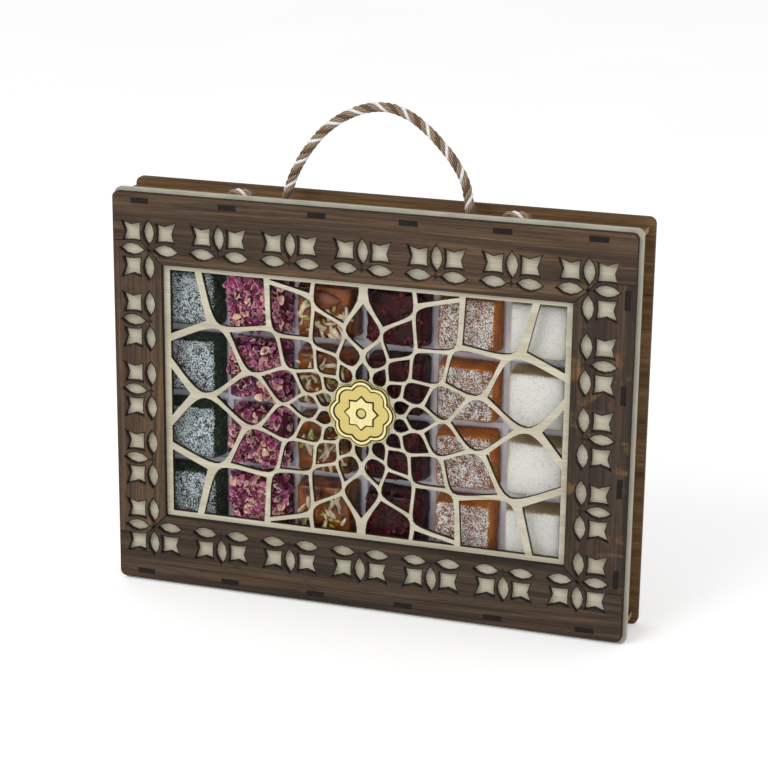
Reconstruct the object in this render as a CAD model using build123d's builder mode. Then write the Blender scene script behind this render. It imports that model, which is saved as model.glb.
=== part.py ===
from build123d import *
import math
import os

# A wooden sweet box: a sleeve of thin boards with an openwork window, a drawer with a tray of
# sweets that slides out of one end, and a rope handle laced through the top.
# Millimetres. X runs right, Y runs back and Z runs up. The origin is under the middle of the box.

# Boards
board = 3.0
panel_w = 302.0
panel_h = 234.0
panel_r = 4.0
wall_depth = 27.0
wall_inset = 5.0
wall_overhang = 1.5

# Walnut strips on the front
reveal = 2.0
overlay_r = 3.5
seam = 0.1

# Tabs of the walls, which show as small dark rectangles in the front and the back
tab_w = 10.6
slot_gap = 0.1
row_tabs = 6
row_margin = 16.5
end_tabs = 4
end_margin = 38.25
tongue_w = 9.0

# Window and its openwork
window_w = 237.0
window_h = 149.4
field_side = 3.8
field_top = 3.0
rib_inner = 1.5
rib_outer = 4.2
rib_growth = 3
rounding = 0.46
facet_error = 0.3
sheet = 0.5
sheet_margin = 5.0

# Flowers cut through the walnut
flower_offset = 7.8
flowers_wide = 7
flowers_high = 5
petal_start = 2.6
petal_l = 14.9
petal_w = 6.9
petal_facets = 4
leaf_in = 4.7
leaf_side = 15.6
leaf_tip = 16.4
leaf_bow = 0.6
leaf_facets = 3
leaf_notch = (10.0, 14.0)

# Medallion
lobes = 8
lobe_facets = 8
medallion_r = 19.6
lobe_depth = 2.6
medallion_plate = 1.4
medallion_relief = 0.5
band_w = 1.5
star_side = 13.0
star_hole_r = 3.2
hub_r = 17.2

# Rope
rope_d = 5.4
handle_sides = 8
lace_sides = 6
rope_hole_gap = 0.7
rope_x = -1.3
leg_offset = 53.2
inner_lace_offset = 73.8
outer_lace_offset = 85.3
lace_bend_r = 4.0
lace_gap = 0.2
swing_gap = 0.3
knot_r = 4.9
knot_rings = (-70, -30, 30, 70)
knot_tail = 5.8
end_rings = (0, 35, 70)

# Drawer
slide_gap = 0.3
rope_room = 12.0
far_gap = 9.0
base_tab_spacing = 120.0
finger_slot_l = 34.0
finger_slot_w = 14.0

# Tray and sweets
columns = ["green", "magenta", "amber", "maroon", "orange", "white"]
rows = 4
pitch_x = 41.0
pitch_z = 39.5
sweet_w = 32.0
sweet_h = 30.5
sweet_d = 17.5
sweet_draft = 6.0
sweet_corner = 2.5
sweet_bevel = 1.2
tray_sheet = 0.8
tray_rim = 9.0
tray_draft = 12.0
tray_margin = 4.0
tray_gap = 0.4
finger_room = 12.0
rib_w = 3.0
rib_h = 4.0

# Planes and faces that the pieces share
depth = 3 * board + wall_depth
front_y = -depth / 2
lattice_y = front_y + board
inner_y = lattice_y + board
back_y = depth / 2 - board
mid_y = (inner_y + back_y) / 2
mouth_x = -panel_w / 2
wall_x = panel_w / 2 - wall_inset
wall_low = wall_inset
wall_high = panel_h - wall_inset
window_x = (mouth_x + wall_x - board / 2) / 2
window_z = panel_h / 2
field_w = window_w - 2 * field_side
field_h = window_h - 2 * field_top
rope_r = rope_d / 2

os.makedirs("parts", exist_ok=True)


def finish(piece, name):
    piece.part.label = name
    export_step(piece.part, f"parts/{name}.step")


def spread(first, last, count):
    return [first + (last - first) * i / (count - 1) for i in range(count)]


def front_plane(y):
    """A plane that faces the viewer, with X to the right and Z up."""
    return Plane.XZ.offset(-y)


# Tab slots, alike in the back panel, the lattice panel and the walnut
row_x = spread(mouth_x + row_margin, wall_x - board / 2 - row_margin, row_tabs)
end_z = spread(end_margin, panel_h - end_margin, end_tabs)
row_slots = [(x, z) for x in row_x for z in (wall_low + board / 2, wall_high - board / 2)]
end_slots = [(wall_x - board / 2, z) for z in end_z]

with BuildSketch() as slots:
    with Locations(*row_slots):
        Rectangle(tab_w + 2 * slot_gap, board + 2 * slot_gap)
    with Locations(*end_slots):
        Rectangle(board + 2 * slot_gap, tab_w + 2 * slot_gap)

with BuildPart() as back_panel:
    with BuildSketch(front_plane(depth / 2)):
        with Locations((0, panel_h / 2)):
            RectangleRounded(panel_w, panel_h, panel_r)
        add(slots.sketch, mode=Mode.SUBTRACT)
    extrude(amount=board)
finish(back_panel, "back_panel")


# Openwork of the window. Ribs run between numbered junctions, given for one quarter of the window
# as distances from its middle. A cell names its corners in order: * leaves a corner sharp, and the
# other corners are rounded as far as their sides allow.
drawn_w, drawn_h = 230.0, 143.4
junctions = {
    1: (99, 76), 2: (91, 43), 3: (81, 39.6), 4: (55.8, 43.8), 5: (50.3, 39.5),
    6: (57.5, 76), 7: (56.3, 70.1), 8: (30.5, 64.2), 9: (28.6, 76), 10: (29, 57.5),
    11: (31, 39.4), 12: (28.3, 34.6), 13: (11.3, 49.3), 14: (10.4, 43.2), 15: (15.2, 31.8),
    16: (13.8, 27.8), 17: (15, 19.2), 18: (27.8, 21.8), 19: (23.9, 19.2), 20: (40.5, 19.7),
    21: (46.8, 21.8), 22: (61.5, 15.3), 23: (70.5, 16.2), 24: (89.3, 0), 25: (100.8, 0),
    26: (120, 23.4), 27: (50.3, 0), 28: (44.5, 0), 29: (35.2, 7.6), 30: (28.6, 7.4),
    31: (22.8, 10.6), 32: (24.8, 0), 33: (17, 8.3), 34: (12.5, 14.8), 35: (5.2, 24.3),
    36: (0, 30.2), 37: (0, 35.3), 38: (0, 64), 39: (1.8, 76), 40: (1.2, 64.2),
    41: (0.8, 35.2), 42: (0.8, 30.2), 43: (4.8, 16.5), 44: (18.5, 0.8), 45: (120, 30.1),
    46: (120, 76), 47: (56.5, 76),
}
cells = [
    "1* 46* 45* 2*",
    "1* 2 3 4* 6*",
    "7* 8* 9* 47*",
    "7* 8 10 11* 5 4",
    "9* 8 10 13* 40 39*",
    "10* 13 14 15* 12 11",
    "14* 41 42 35 16 15",
    "5* 11 12 18* 20 21",
    "3* 4 5 21* 22 23",
    "45* 2 3 23* 24 25 26*",
    "22* 21 20 29* 28 27",
    "20* 18 19 31* 30 29",
    "12* 15 16 17* 19 18",
    "16* 35 43 34 17",
    "17 19* 31 33 34",
    "30* 31 33 44 32",
]
cells_on_vertical = ["38* 13 14 37*", "36* 35 43"]
cells_on_horizontal = ["25* 26*", "24* 23 22 27*", "28* 29 30 32*"]


def rib_width(place):
    """Ribs thicken from the medallion to the window's edge."""
    share = min(place.length / (drawn_w / 2), 1)
    return rib_inner + (rib_outer - rib_inner) * share**rib_growth


def read_cell(words):
    numbers = [int(word.rstrip("*")) for word in words.split()]
    return [Vector(*junctions[n]) for n in numbers], [word.endswith("*") for word in words.split()]


def inset_cell(points):
    """The hole between the ribs: each side moves in by half of its rib's width."""
    ahead = points[1:] + points[:1]
    area = sum(a.X * b.Y - b.X * a.Y for a, b in zip(points, ahead))
    sides = []
    for start, end in zip(points, ahead):
        along = (end - start).normalized()
        inward = Vector(-along.Y, along.X) * math.copysign(1, area)
        sides.append((start + inward * (rib_width((start + end) / 2) / 2), along))
    corners = []
    for (p, along_p), (q, along_q) in zip(sides[-1:] + sides[:-1], sides):
        crossing = along_p.X * along_q.Y - along_p.Y * along_q.X
        reach = ((q.X - p.X) * along_q.Y - (q.Y - p.Y) * along_q.X) / crossing
        corners.append(p + along_p * reach)
    return corners


def rounded_outline(corners, sharp):
    """The corners of a hole, each worn round over nearly half of both its sides."""
    outline = []
    for before, corner, after, stays in zip(corners[-1:] + corners[:-1], corners,
                                            corners[1:] + corners[:1], sharp):
        start = corner + (before - corner) * rounding
        end = corner + (after - corner) * rounding
        bow = (start + end - corner * 2).length / 4
        facets = math.ceil(math.sqrt(bow / facet_error))
        if stays:
            outline.append(corner)
        else:
            steps = [i / facets for i in range(facets + 1)]
            outline += [start * (1 - t)**2 + corner * (2 * t * (1 - t)) + end * t**2 for t in steps]
    return outline


def cut_cell(points, sharp, side_x, side_z):
    scale_x = side_x * field_w / drawn_w
    scale_z = side_z * field_h / drawn_h
    outline = rounded_outline(inset_cell(points), sharp)
    Polygon(*[(p.X * scale_x, p.Y * scale_z) for p in outline], align=None)


def mirrored(points, sharp, flip_x, flip_z):
    """Closes a half cell that lies on a centre line."""
    pairs = [(Vector(p.X * flip_x, p.Y * flip_z), s) for p, s in zip(points, sharp)]
    other = [(p, s) for p, s in reversed(pairs) if min(abs(p.X), abs(p.Y)) > 0]
    return points + [p for p, s in other], sharp + [s for p, s in other]


with BuildSketch() as openwork:
    for words in cells:
        for side_x in (1, -1):
            for side_z in (1, -1):
                cut_cell(*read_cell(words), side_x, side_z)
    for words in cells_on_vertical:
        for side_z in (1, -1):
            cut_cell(*mirrored(*read_cell(words), -1, 1), 1, side_z)
    for words in cells_on_horizontal:
        for side_x in (1, -1):
            cut_cell(*mirrored(*read_cell(words), 1, -1), side_x, 1)
    Rectangle(field_w, field_h, mode=Mode.INTERSECT)
    Circle(hub_r, mode=Mode.SUBTRACT)

with BuildPart() as lattice_panel:
    with BuildSketch(front_plane(inner_y)):
        with Locations((0, panel_h / 2)):
            RectangleRounded(panel_w, panel_h, panel_r)
        add(slots.sketch, mode=Mode.SUBTRACT)
        with Locations((window_x, window_z)):
            add(openwork.sketch, mode=Mode.SUBTRACT)
    extrude(amount=board)
finish(lattice_panel, "lattice_panel")

with BuildPart() as window_sheet:
    with BuildSketch(front_plane(inner_y + sheet)):
        with Locations((window_x, window_z)):
            Rectangle(field_w + 2 * sheet_margin, field_h + 2 * sheet_margin)
    extrude(amount=sheet)
finish(window_sheet, "window_sheet")

# Flowers: pointed petals along the four directions, and a notched leaf between two petals
def bow(start, end, height, facets):
    """Points of a shallow curve from start to end, which bulges to its right by height."""
    start, end = Vector(*start), Vector(*end)
    side = (end - start).normalized().rotate(Axis.Z, -90) * height
    steps = [i / facets for i in range(facets + 1)]
    return [start + (end - start) * t + side * (4 * t * (1 - t)) for t in steps]


petal_ends = (petal_start, 0), (petal_start + petal_l, 0)
with BuildSketch() as petal:
    Polygon(*bow(*petal_ends, petal_w / 2, petal_facets)[:-1],
            *bow(*reversed(petal_ends), petal_w / 2, petal_facets)[:-1], align=None)

with BuildSketch() as leaf:
    Polygon(*bow((leaf_side, leaf_in), (leaf_in, leaf_in), leaf_bow, leaf_facets)[:-1],
            *bow((leaf_in, leaf_in), (leaf_in, leaf_side), leaf_bow, leaf_facets),
            leaf_notch, (leaf_tip, leaf_tip), (leaf_notch[1], leaf_notch[0]), align=None)

flower_x = window_w / 2 + flower_offset
flower_z = window_h / 2 + flower_offset
along_x = spread(-flower_x, flower_x, flowers_wide)[1:-1]
along_z = spread(-flower_z, flower_z, flowers_high)[1:-1]


def flowers(places, petal_turns, leaf_turns):
    with Locations(*places):
        for turn in petal_turns:
            add(petal.sketch, rotation=turn)
        for turn in leaf_turns:
            add(leaf.sketch, rotation=turn)


with BuildSketch() as fretwork:
    flowers([(x, flower_z) for x in along_x], (0, 90, 180), (0, 90))
    flowers([(x, -flower_z) for x in along_x], (0, 180, 270), (180, 270))
    flowers([(flower_x, z) for z in along_z], (0, 90, 270), (0, 270))
    flowers([(-flower_x, z) for z in along_z], (90, 180, 270), (90, 180))
    flowers([(flower_x, flower_z)], (0, 90, 180, 270), (0, 90, 270))
    flowers([(-flower_x, flower_z)], (0, 90, 180, 270), (0, 90, 180))
    flowers([(-flower_x, -flower_z)], (0, 90, 180, 270), (90, 180, 270))
    flowers([(flower_x, -flower_z)], (0, 90, 180, 270), (0, 180, 270))

with BuildSketch() as walnut:
    with Locations((-reveal / 2, panel_h / 2)):
        RectangleRounded(panel_w - reveal, panel_h - 2 * reveal, overlay_r)
    with Locations((window_x, window_z)):
        Rectangle(window_w, window_h, mode=Mode.SUBTRACT)
        add(fretwork.sketch, mode=Mode.SUBTRACT)
    add(slots.sketch, mode=Mode.SUBTRACT)


def strip_region(top):
    """Half of the outline of a top or side strip, from its outer end to the window's corner. The
    joint runs level to the corner flower's leaf, along it, then through the flower."""
    shift = seam / 2 if top else -seam / 2
    middle = (leaf_in + leaf_side) / 2
    steps = [(panel_w, leaf_in), (leaf_side, leaf_in), (middle, middle), (leaf_in, leaf_in),
             (0, 0), (-flower_offset, -flower_offset)]
    return [(flower_x + x, flower_z + z + shift) for x, z in steps]


def flipped(points, flip_x, flip_z):
    return [(x * flip_x, z * flip_z) for x, z in points]


long_strip = [(-panel_w, panel_h), (panel_w, panel_h)] + strip_region(True)
long_strip += flipped(reversed(strip_region(True)), -1, 1)
short_strip = strip_region(False) + flipped(reversed(strip_region(False)), 1, -1)
strips = {
    "overlay_top": long_strip,
    "overlay_bottom": flipped(long_strip, 1, -1),
    "overlay_right": short_strip,
    "overlay_left": flipped(short_strip, -1, 1),
}
for name, region in strips.items():
    with BuildPart() as strip:
        with BuildSketch(front_plane(lattice_y)):
            with Locations((window_x, window_z)):
                Polygon(*region, align=None)
            add(walnut.sketch, mode=Mode.INTERSECT)
        extrude(amount=board)
    finish(strip, name)

# Medallion: a scalloped plate with a raised band and an eight-pointed star
scallop_points = []
for step in range(lobes * lobe_facets):
    turn = 2 * math.pi * step / (lobes * lobe_facets)
    reach = medallion_r - lobe_depth * (1 - abs(math.cos(turn * lobes / 2)))
    scallop_points.append((reach * math.cos(turn), reach * math.sin(turn)))

with BuildSketch() as scallop:
    Polygon(*scallop_points, align=None)

with BuildSketch() as relief:
    for rim, mode in ((band_w, Mode.ADD), (2 * band_w, Mode.SUBTRACT)):
        share = 1 - rim / medallion_r
        Polygon(*[(x * share, y * share) for x, y in scallop_points], align=None, mode=mode)
    Rectangle(star_side, star_side)
    Rectangle(star_side, star_side, rotation=45)
    RegularPolygon(star_hole_r, 2 * lobes, mode=Mode.SUBTRACT)

with BuildPart() as medallion:
    with BuildSketch(front_plane(lattice_y)):
        with Locations((window_x, window_z)):
            add(scallop.sketch)
    extrude(amount=medallion_plate)
    with BuildSketch(front_plane(lattice_y - medallion_plate)):
        with Locations((window_x, window_z)):
            add(relief.sketch)
    extrude(amount=medallion_relief)
finish(medallion, "medallion")

# Walls. A long wall's tabs run through both front boards and through the back panel.
with BuildSketch() as long_wall:
    with Locations(((mouth_x + wall_x + wall_overhang) / 2, mid_y)):
        Rectangle(wall_x + wall_overhang - mouth_x, wall_depth)
    with Locations(*[(x, 0) for x in row_x]):
        Rectangle(tab_w, depth)
    with Locations((wall_x - board / 2, mid_y)):
        Rectangle(board, tongue_w + 2 * slot_gap, mode=Mode.SUBTRACT)

with BuildPart() as bottom_wall:
    with BuildSketch(Plane.XY.offset(wall_low)):
        add(long_wall.sketch)
    extrude(amount=board)
finish(bottom_wall, "bottom_wall")

lace_offsets = [leg_offset, inner_lace_offset, outer_lace_offset]
lace_holes = [(rope_x + side * offset_x, mid_y) for side in (-1, 1) for offset_x in lace_offsets]
with BuildPart() as top_wall:
    with BuildSketch(Plane.XY.offset(wall_high - board)):
        add(long_wall.sketch)
        with Locations(*lace_holes):
            Circle(rope_r + rope_hole_gap, mode=Mode.SUBTRACT)
    extrude(amount=board)
finish(top_wall, "top_wall")

with BuildPart() as right_wall:
    with BuildSketch(Plane.YZ.offset(wall_x - board)):
        with Locations((mid_y, panel_h / 2)):
            Rectangle(wall_depth, wall_high - wall_low - 2 * board)
            Rectangle(tongue_w, wall_high - wall_low)
        with Locations(*[(0, z) for z in end_z]):
            Rectangle(depth, tab_w)
    extrude(amount=board)
finish(right_wall, "right_wall")


# Rope. The handle stands on the two middle holes, and each end is laced through three holes and
# stopped by a knot inside the box.
def rope_tube(points, radii, sides):
    with BuildLine():
        path = FilletPolyline(*points, radius=radii)
    with BuildSketch(Plane(origin=path @ 0, z_dir=path % 0)) as section:
        RegularPolygon(rope_r, sides)
    sweep(section.sketch, path=path)
    return path


def faceted_ball(middle, radius, rings, sides):
    """A ball, or a part of one, through rings at these angles above its middle plane."""
    sections = []
    for angle in rings:
        rise = radius * math.sin(math.radians(angle))
        with BuildSketch(middle.offset(rise)) as ring:
            RegularPolygon(radius * math.cos(math.radians(angle)), sides)
        sections.append(ring.sketch)
    loft(sections, ruled=True)


pivot_z = wall_high + swing_gap + rope_r
handle_route = [(-leg_offset, 0), (-46.2, 19.5), (-30.2, 41), (-9.2, 53), (9.8, 54.5), (28.3, 44.5),
                (49.8, 20.5), (leg_offset, 0)]
handle_points = [Vector(rope_x + x, mid_y, pivot_z + z) for x, z in handle_route]
handle_radii = []
for before, corner, after in zip(handle_points, handle_points[1:], handle_points[2:]):
    half_turn = math.radians((corner - before).get_angle(after - corner) / 2)
    shorter = min((corner - before).length, (after - corner).length)
    handle_radii.append(rounding * shorter / math.tan(half_turn))

with BuildPart() as handle_rope:
    handle_line = rope_tube(handle_points, handle_radii, handle_sides)
    section_area = handle_sides / 2 * rope_r**2 * math.sin(2 * math.pi / handle_sides)
    tube_ratio = handle_rope.part.volume / (section_area * handle_line.length)
    for end, z_dir in ((handle_line @ 0, -(handle_line % 0)), (handle_line @ 1, handle_line % 1)):
        faceted_ball(Plane(origin=end, z_dir=z_dir), rope_r, end_rings, handle_sides)
finish(handle_rope, "handle_rope")
print("handle radii", [round(r, 1) for r in handle_radii])
print("handle length", round(handle_line.length, 1), "volume over section times length",
      round(tube_ratio, 4))

over_z = wall_high + lace_gap + rope_r
under_z = wall_high - board - lace_gap - rope_r
knot_z = wall_high - board - lace_gap - knot_r
with BuildPart() as rope_lacing:
    for side in (-1, 1):
        leg, inner_lace, outer_lace = [rope_x + side * offset_x for offset_x in lace_offsets]
        route = [(outer_lace, knot_z - knot_tail), (outer_lace, over_z), (inner_lace, over_z),
                 (inner_lace, under_z), (leg, under_z), (leg, wall_high)]
        rope_tube([Vector(x, mid_y, z) for x, z in route], [lace_bend_r] * 4, lace_sides)
        faceted_ball(Plane((outer_lace, mid_y, knot_z)), knot_r, knot_rings, lace_sides)
finish(rope_lacing, "rope_lacing")

# Drawer
drawer_front = inner_y + sheet + slide_gap
drawer_back = back_y - slide_gap
base_y = drawer_back - board
drawer_low = wall_low + board + slide_gap
drawer_high = wall_high - board - rope_room
drawer_far = wall_x - board - far_gap
inside_x = mouth_x + board
drawer_mid_z = (drawer_low + drawer_high) / 2
side_mid_y = (drawer_front + base_y) / 2
side_tabs = [(side_mid_y, drawer_low + board / 2), (side_mid_y, drawer_high - board / 2)]
base_tabs = [drawer_mid_z - base_tab_spacing / 2, drawer_mid_z + base_tab_spacing / 2]

with BuildPart() as drawer_end:
    with BuildSketch(Plane.YZ.offset(mouth_x)):
        with Locations(((inner_y + back_y) / 2, (wall_low + wall_high) / 2)):
            Rectangle(wall_depth - 2 * slide_gap, wall_high - wall_low - 2 * (board + slide_gap))
            SlotOverall(finger_slot_l, finger_slot_w, rotation=90, mode=Mode.SUBTRACT)
        with Locations(*side_tabs):
            Rectangle(tab_w + 2 * slot_gap, board + 2 * slot_gap, mode=Mode.SUBTRACT)
        with Locations(*[(drawer_back - board / 2, z) for z in base_tabs]):
            Rectangle(board + 2 * slot_gap, tab_w + 2 * slot_gap, mode=Mode.SUBTRACT)
    extrude(amount=board)
finish(drawer_end, "drawer_end")

with BuildPart() as drawer_base:
    with BuildSketch(front_plane(drawer_back)):
        with Locations(((inside_x + drawer_far) / 2, drawer_mid_z)):
            Rectangle(drawer_far - inside_x, drawer_high - drawer_low)
        with Locations(*[(mouth_x + board / 2, z) for z in base_tabs]):
            Rectangle(board, tab_w)
    extrude(amount=board)
finish(drawer_base, "drawer_base")

with BuildSketch() as drawer_side:
    with Locations(((inside_x + drawer_far) / 2, side_mid_y)):
        Rectangle(drawer_far - inside_x, base_y - drawer_front)
    with Locations((mouth_x + board / 2, side_mid_y)):
        Rectangle(board, tab_w)

for name, low in (("drawer_wall_bottom", drawer_low), ("drawer_wall_top", drawer_high - board)):
    with BuildPart() as drawer_wall:
        with BuildSketch(Plane.XY.offset(low)):
            add(drawer_side.sketch)
        extrude(amount=board)
    finish(drawer_wall, name)

with BuildPart() as drawer_far_end:
    with BuildSketch(Plane.YZ.offset(drawer_far - board)):
        with Locations((side_mid_y, drawer_mid_z)):
            Rectangle(base_y - drawer_front, drawer_high - drawer_low - 2 * board)
    extrude(amount=board)
finish(drawer_far_end, "drawer_far_end")

# Tray: one thin formed sheet, a rim that stands on the base, sloping sides and ribs between sweets
tray_x = (inside_x + drawer_far - board) / 2
tray_w = drawer_far - board - inside_x - 2 * finger_room
tray_h = drawer_high - drawer_low - 2 * (board + tray_gap)
floor_y = base_y - tray_sheet
rim_y = base_y - tray_rim
draft_w = 2 * sweet_d * math.tan(math.radians(sweet_draft))
well_w = (len(columns) - 1) * pitch_x + sweet_w + draft_w + 2 * tray_margin
well_h = (rows - 1) * pitch_z + sweet_h + draft_w + 2 * tray_margin
well_spread = 2 * (tray_rim - tray_sheet) * math.tan(math.radians(tray_draft))

with BuildPart() as sweet_tray:
    with BuildSketch(front_plane(base_y)):
        with Locations((tray_x, drawer_mid_z)):
            Rectangle(tray_w, tray_h)
    extrude(amount=tray_rim)
    with BuildSketch(front_plane(base_y)):
        with Locations((tray_x, drawer_mid_z)):
            Rectangle(tray_w - 2 * tray_sheet, tray_h - 2 * tray_sheet)
    extrude(amount=tray_rim - tray_sheet, mode=Mode.SUBTRACT)
    with BuildSketch(front_plane(base_y)):
        with Locations((tray_x, drawer_mid_z)):
            Rectangle(well_w + 2 * tray_sheet, well_h + 2 * tray_sheet)
    extrude(amount=tray_rim - tray_sheet, taper=-tray_draft)
    with BuildSketch(front_plane(floor_y)):
        with Locations((tray_x, drawer_mid_z)):
            Rectangle(well_w, well_h)
    extrude(amount=tray_rim - tray_sheet, taper=-tray_draft, mode=Mode.SUBTRACT)
    with BuildSketch(front_plane(floor_y)):
        with Locations((tray_x, drawer_mid_z)):
            with GridLocations(pitch_x, pitch_z, len(columns) - 1, 1):
                Rectangle(rib_w, well_h)
            with GridLocations(pitch_x, pitch_z, 1, rows - 1):
                Rectangle(well_w, rib_w)
    extrude(amount=rib_h)
finish(sweet_tray, "sweet_tray")

# Sweets: four to a column, each a block that narrows a little to the front
for column, colour in enumerate(columns):
    x = tray_x + pitch_x * (column - (len(columns) - 1) / 2)
    with BuildPart() as sweets:
        with BuildSketch(front_plane(floor_y)):
            with Locations((x, drawer_mid_z)):
                with GridLocations(pitch_x, pitch_z, 1, rows):
                    Rectangle(sweet_w + draft_w, sweet_h + draft_w)
        extrude(amount=sweet_d, taper=sweet_draft)
        uprights = sweets.edges().filter_by(lambda e: abs((e % 0).Y) > 0.9)
        chamfer(uprights, sweet_corner)
        front_faces = sweets.faces().group_by(Axis.Y)[0]
        chamfer(front_faces.edges(), sweet_bevel)
    finish(sweets, f"sweets_{colour}")
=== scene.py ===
import math
import random

import bmesh
import bpy
from mathutils import Euler, Matrix, Vector, noise


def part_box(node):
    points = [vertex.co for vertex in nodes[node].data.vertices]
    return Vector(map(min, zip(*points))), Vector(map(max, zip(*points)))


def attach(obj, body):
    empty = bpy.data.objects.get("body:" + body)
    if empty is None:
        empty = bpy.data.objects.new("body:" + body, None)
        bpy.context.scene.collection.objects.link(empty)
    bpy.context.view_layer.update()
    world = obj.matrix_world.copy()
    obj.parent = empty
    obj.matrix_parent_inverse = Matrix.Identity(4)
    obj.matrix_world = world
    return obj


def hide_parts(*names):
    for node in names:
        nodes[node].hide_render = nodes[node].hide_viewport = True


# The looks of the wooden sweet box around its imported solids, in metres. X runs right, Y back and
# Z up.

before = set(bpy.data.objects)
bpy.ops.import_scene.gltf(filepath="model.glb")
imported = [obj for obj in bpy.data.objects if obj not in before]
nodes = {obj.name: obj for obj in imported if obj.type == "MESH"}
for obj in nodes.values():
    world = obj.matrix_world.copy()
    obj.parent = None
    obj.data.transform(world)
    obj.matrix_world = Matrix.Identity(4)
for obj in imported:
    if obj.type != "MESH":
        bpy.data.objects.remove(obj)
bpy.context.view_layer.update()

MM = 0.001
FULL_TURN = 2 * math.pi

# Camera, worked out from the box's edges in the photograph
CAMERA_PLACE = (0.3868, -1.168, 0.5025)
CAMERA_TURN = (73.148, -0.632, 18.319)
LENS, SENSOR = 107.7, 36
NEAREST, FARTHEST = 0.05, 40

# Floor, world and lamps
FLOOR_SIZE, FLOOR_BACK = 12, 2
FLOOR_GLOW = 0.3
WORLD_LIGHT = 0.72
LAMPS = {"key": ((-0.9, -1.9, 1.7), 1.3, 24), "fill": ((1.7, -1.5, 0.9), 1.5, 8)}
LAMP_AIM = (0, 0, 0.12)

# Rope, with the route of part.py. The handle's line starts a little below its route.
ROPE_X, ROPE_Y = -1.3 * MM, 1.5 * MM
WALL_TOP = 229 * MM
PIVOT_Z = 232 * MM
HANDLE_ROUTE = [(-53.2, 0), (-46.2, 19.5), (-30.2, 41), (-9.2, 53), (9.8, 54.5), (28.3, 44.5),
                (49.8, 20.5), (53.2, 0)]
HANDLE_SUNK = 2.4 * MM
LEG, INNER_LACE, OUTER_LACE = 53.2 * MM, 73.8 * MM, 85.3 * MM
LACE_OVER, LACE_UNDER, LACE_END = 2.9 * MM, 5.9 * MM, 13.5 * MM
LACE_BEND = 7 * MM
LACE_SUNK = 1 * MM
KNOT_R, KNOT_LOW, KNOT_RISE = 2.5 * MM, 10.4 * MM, 4.4 * MM
KNOT_POINTS, KNOT_ROUND = 40, 24

# Angles at which the first strand starts
HANDLE_PHASE, LACE_PHASE, KNOT_PHASE = 0.6, 2.2, 1.0

# Strands of the rope, laid once round in LAY
STRANDS = ("tan", "dark", "tan", "white")
STRAND_R = {"tan": 1.4 * MM, "dark": 1.35 * MM, "white": 0.95 * MM}
STRAND_REACH = 2.75 * MM
STRAND_SIDES = 9
STRAND_TAPER, TAPER_RINGS = 0.35, 3
LAY = 15 * MM
STEP = 0.8 * MM
FIRST_SIDE = Vector((0, 1, 0.01))

# Window and flowers, with the values of part.py
WINDOW_W, WINDOW_H = 237 * MM, 149.4 * MM
WINDOW_X, WINDOW_Z = -3.25 * MM, 117 * MM
FLOWER_OFFSET = 7.8 * MM
FLOWERS_ACROSS, FLOWERS_UP = 7, 5
MARK_R, MARK_WAIST, MARK_CORNERS = 2.3 * MM, 0.48, 8

# The panel's pale rim starts at these distances from the box's middle
RIM_X, RIM_Z = 146.5 * MM, 112.5 * MM

# Dark lines round the cuts: the cutter's scorch together with painted shade of the cut walls. The
# strips' outlines have narrower ones than their holes, and slots have none. A slot's edge has 4
# corners.
BURN_AND_SHADE_W = 0.6 * MM
FACE_LIFT = 0.02 * MM
OUTLINE_SHARE = {"top": 0.5, "bottom": 0.9, "left": 0.5, "right": 0.5}
SLOT_CORNERS = 4
SAME_POINT, SAME_PLANE = 1e-6, 1e-5
TINY = 1e-9

# Medallion
RELIEF = 0.5 * MM
GROOVE_W = 0.85 * MM

# Sweets. They are wider than high, and may lean by the tilt, in degrees, either way.
ROWS = 4
SWEET_ROUND = 3.0 * MM
SWEET_GRID = 11
SWEET_WIDER = 1.5 * MM
SWEET_DRAFT = math.radians(6)
SWEET_TILT = 1.5

# Their uneven surface: lumps and pits for each metre, and how high they are, in mm
LUMPS, PITS, PIT_SHARE = 160, 600, 0.35
WOBBLE = {"green": 0.35, "magenta": 0.8, "amber": 0.7, "maroon": 0.9, "orange": 0.35, "white": 0.4}

# What lies on them. Counts are for one sweet.
SHREDS = {"green": 110, "orange": 110, "white": 90}
PETALS = {"front": 170, "right": 34, "top": 40}
THREADS = 50
BERRIES = {"front": 110, "right": 26, "top": 30}
NUTS, NUTS_BY_ALMOND = 32, 24
ALMOND_SIZE, ALMOND_UP, ALMOND_POINTED = (21 * MM, 11 * MM, 6.5 * MM), 7 * MM, 0.75
PETAL_ROWS, PETAL_COLUMNS = 6, 5
FACING = {"front": (0, 0, 0), "right": (0, 0, math.pi / 2), "top": (-math.pi / 2, 0, 0)}


def srgb(red, green, blue):
    """A colour as a picture shows it, 0 to 255, as the light that Blender works with."""
    def linear(value):
        value /= 255
        return value / 12.92 if value <= 0.04045 else ((value + 0.055) / 1.055) ** 2.4
    return linear(red), linear(green), linear(blue), 1.0


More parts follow.
